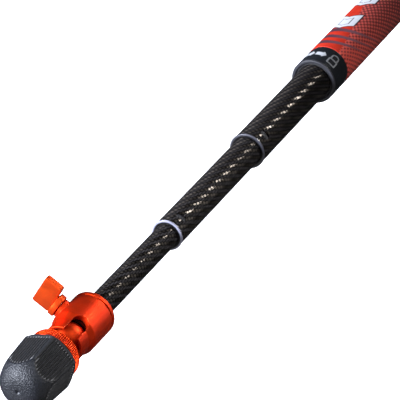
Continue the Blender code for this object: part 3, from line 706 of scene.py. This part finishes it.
# a padlock drawn in outline, its shackle towards the butt
body_out = rounded_loop([(-3.75, 0.5, 0.9), (3.75, 0.5, 0.9), (3.75, 8.0, 0.8), (-3.75, 8.0, 0.8)])
body_in = rounded_loop([(-2.55, 1.9, 0.3), (-2.55, 6.7, 0.3), (2.55, 6.7, 0.3), (2.55, 1.9, 0.3)])
shackle_out = [(3.1, 0.9)] + arc_points(0, -2.6, 3.1, 0, -180, 18) + [(-3.1, 0.9)]
shackle_in = [(-1.95, 0.9)] + arc_points(0, -2.6, 1.95, -180, 0, 18) + [(1.95, 0.9)]
padlock = [body_out, body_in]
printed_mark("padlock_body_mark", padlock, -0.4, 570.4, PRINT_GREY, "grey_plastic")
printed_mark("padlock_shackle_mark", [[(3.1, 0.35)] + arc_points(0, -2.6, 3.1, 0, -180, 18) + [(-3.1, 0.35), (-1.95, 0.35)]
                                      + arc_points(0, -2.6, 1.95, -180, 0, 18) + [(1.95, 0.35)]],
             -0.4, 570.4, PRINT_GREY, "grey_plastic")
arrow = [(-4.0, 0.0, 0.3), (-1.3, -4.0, 0.3), (-0.9, -2.4, 0.2), (3.7, -2.4, 0.3), (3.7, 2.4, 0.3), (-0.9, 2.4, 0.2), (-1.3, 4.0, 0.3)]
for n, at in enumerate((35.5, 66.0)):
    printed_mark(f"lock_arrow_{n + 1}_mark", [rounded_loop(arrow, 4)], at, 571.4, PRINT_WHITE, "grey_plastic")


# -------------------------------------------------------------- carbon sections
def window_box(name, r, wall, deg, face, grow=0.0):
    a = radians(deg)
    mid = r - wall / 2
    place = Matrix.Translation((mid * cos(a) * MM, mid * sin(a) * MM, (face - 11.3) * MM)) @ Matrix.Rotation(a, 4, "Z")
    mesh = bpy.data.meshes.new(name)
    shape = bmesh.new()
    bmesh.ops.create_cube(shape, size=1.0, matrix=Matrix.Diagonal((4.0 * MM, (6.3 + grow) * MM, (5.0 + grow) * MM, 1.0)))
    along = [e for e in shape.edges if abs((e.verts[0].co - e.verts[1].co).normalized().x) > 0.99]
    bmesh.ops.bevel(shape, geom=along, offset=0.5 * MM, segments=5, profile=0.5, affect="EDGES")
    shape.to_mesh(mesh)
    shape.free()
    mesh.transform(place)
    return new_object(name, mesh)


def carbon_tube(name, node, wall, material, body, window=None):
    r, z0, z1 = span(node)
    profile = filleted([(r, z1, 0.15), (r, z0, 0.15), (r - wall, z0, 0.1), (r - wall, z1, 0.1)], steps=3)
    if window is not None:
        face = z1 + 0.15 + 1.05
        rows = []
        for p, q in zip(profile, profile[1:] + profile[:1]):
            rows.append(p)
            if abs(q[1] - p[1]) > 50:      # a few extra rows beside the window keep its edge clean
                marks = [face - 11.3 + d for d in (-9, -4, 4, 9)]
                for mark in sorted(marks, reverse=q[1] < p[1]):
                    rows.append((p[0], mark))
        profile = rows
    obj = lathe(name, profile, 160)
    if window is not None:
        combine(obj, window_box(name + "_cut", r, wall, window, face), "DIFFERENCE")
        weld(obj)
        smooth(obj, 30.0)
    return put(obj, body, material, "carbon", node)


def mouth_ring(name, node, tube_node, wall, inner, material, slot, body, window):
    r, _, top = span(tube_node)
    face = top + 0.15 + 1.05
    spigot = r - wall - 0.13
    ring = lathe(name, filleted([
        (r + 0.38, face, 0.5), (r + 0.38, face - 1.05, 0.12), (spigot, face - 1.05, 0.1), (spigot, face - 16.0, 0.4),
        (inner, face - 16.0, 0.2), (inner, face, 0.45)], steps=6), 160)
    a = radians(window)
    low, high = inner + 0.35, sqrt((r - 0.12) ** 2 - 2.95 ** 2)
    place = Matrix.Translation(((low + high) / 2 * cos(a) * MM, (low + high) / 2 * sin(a) * MM,
                                (face - 11.3 + 0.5) * MM)) @ Matrix.Rotation(a, 4, "Z")
    tab = rounded_box(name + "_tab", (high - low, 5.9, 3.7), 0.28, place)
    combine(ring, tab, "UNION")
    weld(ring)
    smooth(ring, 34.0)
    return put(ring, body, material, slot, node)


carbon_tube("carbon_section_1", "section_1_tube", 1.1, CARBON_1, "section_1", -102.0)
mouth_ring("section_1_mouth_ring", "section_1_end_ring", "section_1_tube", 1.1, 9.95, RING_GREY, "ring_grey", "section_1", -102.0)
carbon_tube("carbon_section_2", "section_2_tube", 1.0, CARBON_2, "section_2", -87.5)
mouth_ring("section_2_mouth_ring", "section_2_end_ring", "section_2_tube", 1.0, 7.85, RING_LIGHT, "ring_light", "section_2", -87.5)
carbon_tube("carbon_section_3", "section_3_tube", 1.0, CARBON_3, "section_3")

# -------------------------------------------------------------------- ball head
R, Z0, Z1 = span("head_base_cap")
BASE_R, BASE_Z0 = R, Z0
base_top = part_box("head_housing")[0].z / MM - 0.55
base = lathe("head_base_disc", filleted([
    (9.8, Z1, 0.4), (9.8, base_top, 0.1), (R, base_top, 0.4), (R, Z0, 0.6), (3.3, Z0, 0.3), (3.3, Z1, 0.3)], steps=6), 192)
put(base, "section_3", ORANGE_HEAD, "orange", "head_base_cap")

HEAD_R = R
_, H0, H1 = span("head_housing")
BALL_Z, SCREW_Z = 949.4, 932.6
housing = lathe("head_housing_body", filleted([
    (12.3, H1, 0.5), (12.3, 947.8, 2.6), (HEAD_R, 943.2, 2.6), (HEAD_R, H0 + 0.2, 0.4), (10.3, H0 + 0.2, 0.2),
    (10.3, BALL_Z + 1.6, 0.4), (9.35, BALL_Z + 4.2, 0.3), (10.6, H1 - 1.2, 0.3), (11.0, H1, 0.3)], steps=7), 192)
slot_mesh = bpy.data.meshes.new("slot_cut")
shape = bmesh.new()
bmesh.ops.create_cone(shape, cap_ends=True, segments=72, radius1=5.0 * MM, radius2=5.0 * MM, depth=17.0 * MM,
                      matrix=Matrix.Translation((0, -11.5 * MM, 0)) @ Matrix.Rotation(pi / 2, 4, "X"))
for vert in shape.verts:
    if vert.co.z > 1e-6:
        vert.co.z = 0.020
shape.to_mesh(slot_mesh)
shape.free()
slot_mesh.transform(Matrix.Translation((0, 0, 946.7 * MM)))
combine(housing, new_object("slot_cut", slot_mesh), "DIFFERENCE")
screw_place = Matrix.Translation((0, 0, SCREW_Z * MM)) @ TO_X
bore = lathe("screw_bore_cut", [(0, 20.0), (4.0, 20.0), (4.0, 5.0), (0, 5.0)], 64, closed=False, place=screw_place)
combine(housing, bore, "DIFFERENCE")
boss = lathe("screw_boss", filleted([(5.9, 16.0, 0.5), (5.9, 11.2), (2.75, 11.2), (2.75, 16.0, 0.3)], steps=5), 96, place=screw_place)
combine(housing, boss, "UNION")
weld(housing)
smooth(housing, 33.0)
put(housing, "section_3", ORANGE_HEAD, "orange", "head_housing")


def ball_profile():
    out = [(0, 956.0), (2.2, 956.0), (2.2, 965.5), (2.4, 965.75), (3.9, 965.75), (4.1, 965.55)]
    join_z = BALL_Z + sqrt(100.0 - 4.9 ** 2)
    for k in range(7):                       # a small fillet from the stem into the ball
        t = k / 6
        out.append((4.1 + 0.8 * (1 - cos(t * pi / 2)), join_z + 1.5 - 1.5 * sin(t * pi / 2)))
    start = degrees(acos((join_z - BALL_Z) / 10.0))
    for k in range(1, 61):
        a = radians(start + (180 - start) * k / 60)
        out.append((10.0 * sin(a) if k < 60 else 0.0, BALL_Z + 10.0 * cos(a)))
    return out


ball = lathe("ball_and_stem", ball_profile(), 144, closed=False)
put(ball, "ball", ORANGE_BALL, "orange", "ball")

# the thumb screw: a turned disc with a one-sided wing
knob = lathe("thumb_disc", filleted([(0, 19.9), (6.9, 19.9, 0.45), (6.9, 16.3, 0.45), (2.65, 16.3, 0.2), (2.65, 19.0), (0, 19.0)],
                                    closed=False, steps=5), 96, closed=False, place=screw_place)
tilt = radians(-7.0)


def beside(x, across):
    return (x * MM, across * cos(tilt) * MM, (SCREW_Z + across * sin(tilt)) * MM)


wing_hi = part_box("thumb_knob")[1].x / MM
wing_mid = ((20.3 + wing_hi) / 2, (-13.8 + 7.6) / 2)
wing = bpy.data.meshes.new("thumb_wing")
shape = bmesh.new()
bmesh.ops.create_cube(shape, size=1.0, matrix=Matrix.Diagonal(((wing_hi - 20.3) * MM, 21.4 * MM, 4.0 * MM, 1.0)))
corners = [e for e in shape.edges if abs((e.verts[0].co - e.verts[1].co).normalized().z) > 0.99]
bmesh.ops.bevel(shape, geom=corners, offset=1.5 * MM, segments=8, profile=0.5, affect="EDGES")
rims = [e for e in shape.edges if e.calc_face_angle(0) > radians(60)]
bmesh.ops.bevel(shape, geom=rims, offset=0.35 * MM, segments=3, profile=0.5, affect="EDGES")
shape.to_mesh(wing)
shape.free()
wing.transform(Matrix.Translation(beside(*wing_mid)) @ Matrix.Rotation(tilt, 4, "X"))
web = rounded_box("thumb_web", (4.0, 12.0, 3.6), 0.3, Matrix.Translation(beside(21.0, 0.6)) @ Matrix.Rotation(tilt, 4, "X"), 3)
combine(knob, web, "UNION")
combine(knob, new_object("thumb_wing", wing), "UNION")
knob.name = "thumb_screw_wing"
weld(knob)
smooth(knob, 34.0)
put(knob, "thumb_screw", ORANGE, "orange", "thumb_knob")

# ------------------------------------------------------------ platform and foot
R, Z0, Z1 = span("platform_disc")
TEETH = 82


def knurl(r, z, a):
    if r > R - 0.9:
        level = min(1.0, max(0.0, (z - Z0 - 0.35) / 0.5), max(0.0, (Z1 - 0.35 - z) / 0.5))
        wave = 0.5 - 0.5 * cos(TEETH * (a - radians(FRONT)))
        return r - 0.70 * level * wave ** 1.5, z
    return r, z


disc_profile = densify(filleted([
    (R, Z1, 0.55), (R, Z0, 0.55), (8.2, Z0, 0.3), (7.9, Z0 + 0.35, 0.2), (6.1, Z0 + 0.35, 0.2), (5.8, Z0, 0.2),
    (3.3, Z0, 0.3), (3.3, Z1, 0.3)], steps=4), 0.55)
disc = lathe("platform_knurled_disc", disc_profile, TEETH * 10, shift=knurl, sharp=60.0)
put(disc, "platform", ORANGE_KNURL, "orange", "platform_disc")

R, Z0, Z1 = span("platform_pad")
pad_top = [(R, Z1, 0.25), (R, Z0, 0.2), (3.5, Z0, 0.2), (3.5, Z1, 0.2)]
for ring in (5.4, 7.4, 9.4, 11.4, 13.2):
    pad_top += [(ring - 0.4, Z1, 0.1), (ring - 0.25, Z1 - 0.35, 0.1), (ring + 0.25, Z1 - 0.35, 0.1), (ring + 0.4, Z1, 0.1)]
cushion = lathe("platform_pad_ringed", filleted(pad_top, steps=3), 144)
put(cushion, "platform", PAD_RUBBER, "rubber", "platform_pad")


def stud_thread(r, z, a):
    if r > 2.9 and 966.6 < z < 979.0:
        fade = min(1.0, (z - 966.6) / 0.8, (979.0 - z) / 0.6)
        return 3.15 - 0.55 * fade * (1.0 - ridge(z, a, 1.27)), z
    return r, z


stud_profile = densify(filleted([(0, 979.6), (2.5, 979.6, 0.3), (3.15, 978.9, 0.1), (3.15, 966.2, 0.2), (2.0, 966.2, 0.1),
                                 (2.0, 958.2, 0.2), (0, 958.2)], closed=False, steps=3), 0.16, closed=False)
stud = lathe("mount_stud_threaded", stud_profile, 72, closed=False, shift=stud_thread)
put(stud, "platform", STEEL, "steel", "mount_stud")

# The rubber foot: a six-sided skirt with fine axial ribs that meets a dome.
_, F0, F1 = span("rubber_foot")
HEX_Z0, HEX_R0, HEX_R1, HEX_EDGE_Z, HEX_FIRST = 977.9, 18.8, 17.3, 1001.0, -15.0
DOME_R, DOME_Z, CROWN_DEG = 17.4, 994.8, 40.0
RIB_PITCH = 1.7


def crown_height(r):
    edge_r = DOME_R * sin(radians(CROWN_DEG))
    edge_z = DOME_Z + DOME_R * cos(radians(CROWN_DEG))
    if r < edge_r:
        return edge_z + (F1 - edge_z) * (1 - (r / edge_r) ** 3.5)
    return DOME_Z + sqrt(max(0.0, DOME_R ** 2 - r * r))


def soft_least(a, b, k):
    """The smaller of two, with the corner between them rounded."""
    h = max(0.0, k - abs(a - b)) / k
    return min(a, b) - h * h * k * 0.25


def make_foot():
    half = HEX_R0 * sin(pi / 6)
    per_side = 152
    angles = []
    for side in range(6):
        middle = radians(HEX_FIRST + 30 + 60 * side)
        apothem = HEX_R0 * cos(pi / 6)
        for k in range(per_side):
            s = -half + 2 * half * k / per_side
            angles.append((middle + atan(s / apothem), s / half, middle))
    slope = (HEX_R0 - HEX_R1) / (HEX_EDGE_Z - HEX_Z0)

    # rows: up the skirt by height, then over the dome by its own angle
    heights = [F0 + 0.0, F0 + 0.25]
    z = F0 + 0.5
    while z < 1004.9:
        heights.append(z)
        z += 0.26
    verts, rows = [], []

    def skirt(z, angle, s, middle, ribbed=True):
        corner = HEX_R0 - slope * (z - HEX_Z0)
        apothem = corner * cos(pi / 6)
        # the skirt's corners are rounded, so each side meets the next on a soft strip
        across = s * corner * 0.5
        plain = apothem / cos(angle - middle)
        limit = corner * 0.985
        r_hex = soft_least(plain, limit, 0.8)
        dome = sqrt(max(0.0, DOME_R ** 2 - (z - DOME_Z) ** 2)) if z > DOME_Z else 40.0
        rim = 17.2 + (z - F0) * (22.0 - 17.2) / 5.6
        r_wall = r_hex
        if ribbed:
            # ribs stop short of the corner, of the rim and of the dome's edge
            inside = min(1.0, max(0.0, (corner * 0.5 - 1.25 - abs(across)) / 0.25))
            low = min(1.0, max(0.0, (z - (F0 + 2.2)) / 0.35))
            room = dome - plain
            high = min(1.0, max(0.0, (room - 0.15) / 0.35)) if dome < 39 else 1.0
            wave = 0.5 + 0.5 * cos(2 * pi * across / RIB_PITCH)
            r_wall -= 0.55 * (1.0 - wave ** 1.6) * inside * low * high
        r = soft_least(soft_least(r_wall, dome, 0.55), rim, 0.5)
        return r

    for z in heights:
        row = []
        for angle, s, middle in angles:
            r = skirt(z, angle, s, middle)
            row.append(len(verts))
            verts.append((r * cos(angle) * MM, r * sin(angle) * MM, z * MM))
        rows.append(row)
    # above the skirt the outline is the dome's own circle
    start_r = sqrt(DOME_R ** 2 - (heights[-1] - DOME_Z) ** 2)
    steps = 46
    for k in range(1, steps + 1):
        r = start_r * (1 - k / steps)
        dimple = 0.0
        z = crown_height(r)
        if r < 2.6:
            dimple = 1.0 * (0.5 + 0.5 * cos(pi * min(1.0, r / 1.95))) - 0.10 * max(0.0, 1 - abs(r - 2.15) / 0.45)
        if r < 1e-6:
            rows.append([len(verts)])
            verts.append((0, 0, (z - dimple) * MM))
            break
        row = []
        for angle, s, middle in angles:
            row.append(len(verts))
            verts.append((r * cos(angle) * MM, r * sin(angle) * MM, min(z - dimple, F1) * MM))
        rows.append(row)
    # underneath: flat rim, then the socket over the threaded insert
    under = [(15.6, F0), (14.0, F0), (7.2, F0), (7.2, F0 + 4.0), (7.2, 985.8), (0.0, 985.8)]
    low_rows = []
    for r, z in under:
        if r < 1e-6:
            low_rows.append([len(verts)])
            verts.append((0, 0, z * MM))
            continue
        row = []
        for angle, s, middle in angles:
            row.append(len(verts))
            verts.append((r * cos(angle) * MM, r * sin(angle) * MM, z * MM))
        low_rows.append(row)
    order = list(reversed(low_rows)) + rows
    faces = []
    count = len(angles)
    for a, b in zip(order, order[1:]):
        for k in range(count):
            n = (k + 1) % count
            if len(a) == 1:
                faces.append((a[0], b[n], b[k]))
            elif len(b) == 1:
                faces.append((a[k], a[n], b[0]))
            else:
                faces.append((a[k], a[n], b[n], b[k]))
    mesh = bpy.data.meshes.new("rubber_foot_ribbed")
    mesh.from_pydata(verts, [], faces)
    mesh.update()
    outward(mesh)
    return smooth(new_object("rubber_foot_ribbed", mesh), 50.0)


foot = make_foot()
put(foot, "foot", FOOT_RUBBER, "rubber", "rubber_foot")

# ----------------------------------------------------- finishes of the kept parts
KEPT = {
    "lock_sleeve": BUTT_BLACK, "clamp_ring": STEEL, "section_1_guide_bush": NYLON,
    "lock_2_expander": NYLON, "lock_3_expander": NYLON, "lock_2_cone": BRASS, "lock_3_cone": BRASS,
    "section_2_plug": STEEL, "section_3_plug": STEEL, "lock_2_stud": STEEL, "lock_3_stud": STEEL,
    "section_3_top_plug": STEEL, "head_stud": STEEL, "pressure_cup": CUP_PAINTED_SHADE, "ball_seat": BUTT_BLACK,
    "lock_plunger": STEEL_X, "thumb_screw_shaft": STEEL_X, "foot_thread_insert": BRASS,
}
for name, finish in KEPT.items():
    kept = nodes[name]
    if not kept.material_slots:
        kept.data.materials.append(finish)
    for holder in kept.material_slots:
        holder.material = finish

# ---------------------------------------------------------------- floor and light
# A backlit white table: it looks plain white and adds no glare to the object.
floor_mesh = bpy.data.meshes.new("studio_floor")
shape = bmesh.new()
bmesh.ops.create_grid(shape, x_segments=8, y_segments=8, size=6.0)
shape.to_mesh(floor_mesh)
shape.free()
floor = new_object("studio_floor", floor_mesh)
floor.location = (0, 0, -0.0005)
paper = Finish("pale_table", (0.86, 0.86, 0.865), 0.85, Emission_Color=(1.0, 1.0, 1.0, 1.0), Emission_Strength=0.85)
paper.out(Roughness=paper.ramp(paper.noise(60.0, 3.0), 0.3, 0.7, 0.8, 0.9))
floor.data.materials.append(paper.material)
floor.visible_diffuse = False
floor.visible_glossy = False

world = bpy.data.worlds.new("studio")
world.use_nodes = True
room = world.node_tree
backdrop = room.nodes["Background"]
backdrop.inputs["Color"].default_value = (1.0, 1.0, 1.0, 1.0)
seen = room.nodes.new("ShaderNodeLightPath")
level = room.nodes.new("ShaderNodeMapRange")
level.inputs["To Min"].default_value = 0.06
level.inputs["To Max"].default_value = 1.0
room.links.new(seen.outputs["Is Camera Ray"], level.inputs["Value"])
room.links.new(level.outputs[0], backdrop.inputs["Strength"])
bpy.context.scene.world = world
bpy.context.scene.view_settings.view_transform = "Standard"


def softbox(name, azimuth, elevation, distance, size, power, target=(0, 0, 0.85), colour=(1, 1, 1)):
    """An area light seen from the target at this azimuth and elevation, in degrees."""
    a, e = radians(azimuth), radians(elevation)
    aim = Vector(target)
    place = aim + Vector((cos(a) * cos(e), sin(a) * cos(e), sin(e))) * distance
    data = bpy.data.lights.new(name, "AREA")
    data.shape = "RECTANGLE"
    data.size, data.size_y = size
    data.energy = power
    data.color = colour
    made = new_object(name, data)
    made.location = place
    made.rotation_euler = (aim - place).to_track_quat("-Z", "Y").to_euler()
    made.visible_camera = False
    return made


softbox("front_low_strip", FRONT + 1.5, -40.0, 1.2, (0.27, 0.22), 0.95, (0, 0, 0.72)).data.spread = radians(18)
softbox("left_high_key", FRONT + 92.0, 43.0, 1.4, (0.68, 0.68), 94.0, (0, 0, 0.97), (0.90, 0.96, 1.10))
softbox("front_high", FRONT + 40.0, 68.0, 1.8, (0.8, 0.8), 3.0, (0, 0, 0.85))
softbox("front_soft", FRONT + 4.0, 14.0, 2.0, (1.1, 1.1), 13.5, (0, 0, 0.80))
softbox("right_soft", FRONT - 78.0, 15.0, 2.0, (1.0, 1.0), 6.0, (0, 0, 0.80))
softbox("head_card", FRONT - 36.0, -48.0, 0.6, (0.40, 0.3), 0.095, (0, 0, 0.955)).data.spread = radians(30)
softbox("back_fill", FRONT + 180.0, 34.0, 2.0, (2.6, 2.6), 14.0)
